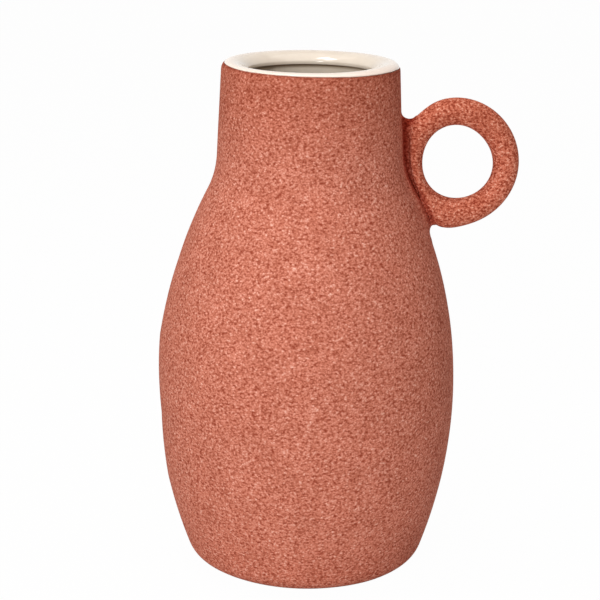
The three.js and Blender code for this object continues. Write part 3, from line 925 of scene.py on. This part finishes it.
def make_camera():
    """The camera: the swing turns it and its aim about the vase, and the roll turns it about its view."""
    swing = Matrix.Rotation(CAMERA_SWING, 3, "Z")
    back = Vector((0, -math.cos(CAMERA_ELEVATION), math.sin(CAMERA_ELEVATION))) * CAMERA_DISTANCE
    place = swing @ (back + Vector((0, 0, CAMERA_ABOUT_HEIGHT)))
    ahead = (swing @ Vector(AIM) - place).normalized()
    level = ahead.cross(Vector((0, 0, 1))).normalized()
    upright = level.cross(ahead)
    right = math.cos(CAMERA_ROLL) * level + math.sin(CAMERA_ROLL) * upright
    up = math.cos(CAMERA_ROLL) * upright - math.sin(CAMERA_ROLL) * level
    data = bpy.data.cameras.new("camera")
    data.sensor_width = SENSOR_WIDTH
    data.lens = FOCAL_LENGTH
    camera = bpy.data.objects.new("camera", data)
    camera.matrix_world = Matrix.Translation(place * MM) @ Matrix((right, up, -ahead)).transposed().to_4x4()
    bpy.context.scene.collection.objects.link(camera)
    bpy.context.scene.camera = camera


def make_lamp(name, size, turn, rise, power):
    """A square soft lamp that looks at the vase's middle, from a turn off the camera's side and a rise."""
    middle = Vector((0, 0, VASE_HEIGHT / 2))
    out = Vector((math.sin(turn) * math.cos(rise), -math.cos(turn) * math.cos(rise), math.sin(rise)))
    place = Matrix.Rotation(CAMERA_SWING, 3, "Z") @ out * LAMP_DISTANCE + middle
    data = bpy.data.lights.new(name, "AREA")
    data.size = size * MM
    data.energy = power
    lamp = bpy.data.objects.new(name, data)
    lamp.location = place * MM
    lamp.rotation_euler = (middle - place).to_track_quat("-Z", "Y").to_euler()
    bpy.context.scene.collection.objects.link(lamp)


def seen_directly(tree):
    """1 on camera, glossy and transmission rays, which see a white room, and 0 on the rays that light."""
    path = add(tree, "ShaderNodeLightPath").outputs
    seen = path["Is Camera Ray"]
    for ray in ("Is Glossy Ray", "Is Transmission Ray"):
        seen = add(tree, "ShaderNodeMath", {0: seen, 1: path[ray]}, operation="MAXIMUM").outputs[0]
    return seen


def make_room():
    """A pale room with the lamps: white where it is seen directly, and a weak warm light on the vase."""
    scene = bpy.context.scene
    scene.world = bpy.data.worlds.new("pale_room")
    scene.world.use_nodes = True
    tree = scene.world.node_tree
    tree.nodes.clear()
    lighting = add(tree, "ShaderNodeBackground",
                   values={"Color": linear(ROOM_COLOUR), "Strength": ROOM_STRENGTH})
    white = add(tree, "ShaderNodeBackground", values={"Color": linear("#FFFFFF"), "Strength": 1})
    sky = add(tree, "ShaderNodeMixShader",
              {0: seen_directly(tree), 1: lighting.outputs[0], 2: white.outputs[0]})
    add(tree, "ShaderNodeOutputWorld", {"Surface": sky.outputs[0]})

    # The table: matt white paint, which is seen a shade under plain white and keeps the vase's shadow
    material, tree = new_material("white_table")
    matt = add(tree, "ShaderNodeBsdfDiffuse", values={"Color": linear("#E7E7E7")}).outputs[0]
    glow = add(tree, "ShaderNodeEmission", values={"Color": linear("#FFFFFF"), "Strength": 1}).outputs[0]
    share = add(tree, "ShaderNodeMath", {0: seen_directly(tree)}, {1: TABLE_GLOW}, operation="MULTIPLY")
    both = add(tree, "ShaderNodeMixShader", {0: share.outputs[0], 1: matt, 2: glow}).outputs[0]
    add(tree, "ShaderNodeOutputMaterial", {"Surface": both})
    corners = [(x * TABLE_REACH, y * TABLE_REACH, 0) for x, y in ((-1, -1), (1, -1), (1, 1), (-1, 1))]
    table = mesh_object("table", corners, [(0, 1, 2, 3)])
    table.data.materials.append(material)
    make_lamp("window_key", KEY_SIZE, KEY_TURN, KEY_RISE, KEY_POWER)
    make_lamp("skylight", SKYLIGHT_SIZE, SKYLIGHT_TURN, SKYLIGHT_RISE, SKYLIGHT_POWER)
    make_lamp("ceiling_fill", CEILING_SIZE, 0, CEILING_RISE, CEILING_POWER)


def make_vase():
    """Makes the five pieces, and says what each rides on and which solid it stands for. The slot listed for
    each is not used.
    """
    coat_finish = sand_coat_finish()
    glaze_finish = cream_glaze_finish()
    clay_finish = bare_stoneware_finish()
    reach = RING_RADIUS + RING_TUBE_RADIUS + JOINT_REACH + MESH_MARGIN
    aside = RING_TUBE_RADIUS + JOINT_REACH + MESH_MARGIN
    low_corner = (RING_X - reach, -aside, RING_HEIGHT - reach)
    around_ring = (low_corner, (RING_X + reach, aside, RING_HEIGHT + reach))

    coat = turned("sand_coat_skin", coat_outside(), coat_finish)
    coat = combined(coat, surface_of("coat_over_ring", coat_at_ring, FINE_CELL, *around_ring), "UNION")
    for_body = turned("room_for_body", clay_room(), coat_finish, TURN_SEGMENTS // 4)
    coat = combined(coat, for_body, "DIFFERENCE")
    for_ring = surface_of("room_for_ring", clay_room_at_ring, HIDDEN_CELL, *around_ring)
    coat = combined(coat, for_ring, "DIFFERENCE")
    mark_coat(coat)
    liner = turned("cream_liner_glaze", liner_profile(), glaze_finish)
    body = turned("stoneware_vase_body", clay_profile(), clay_finish, TURN_SEGMENTS // 2)
    ring = surface_of("ring_handle_clay", ring_clay, HIDDEN_CELL, *around_ring)
    slip = surface_of("luting_slip_web", slip_web, HIDDEN_CELL / 2, *around_ring)

    dressed = (
        (coat, coat_finish, "sand_coat", "sand_textured_coat"),
        (liner, glaze_finish, "liner_glaze", "cream_gloss_glaze"),
        (body, clay_finish, "stoneware_body", "bare_stoneware"),
        (ring, clay_finish, "ring_handle", "bare_stoneware"),
        (slip, slip_finish(), "handle_slip_joint", "luting_slip"),
    )
    for piece, finish, node, slot in dressed:
        piece.data.materials.clear()
        piece.data.materials.append(finish)
        piece.data.shade_smooth()
        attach(piece, "root")
        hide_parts(node)


make_camera()
bpy.context.scene.view_settings.view_transform = "Standard"
WHEEL = wheel_tree()
make_vase()
make_room()
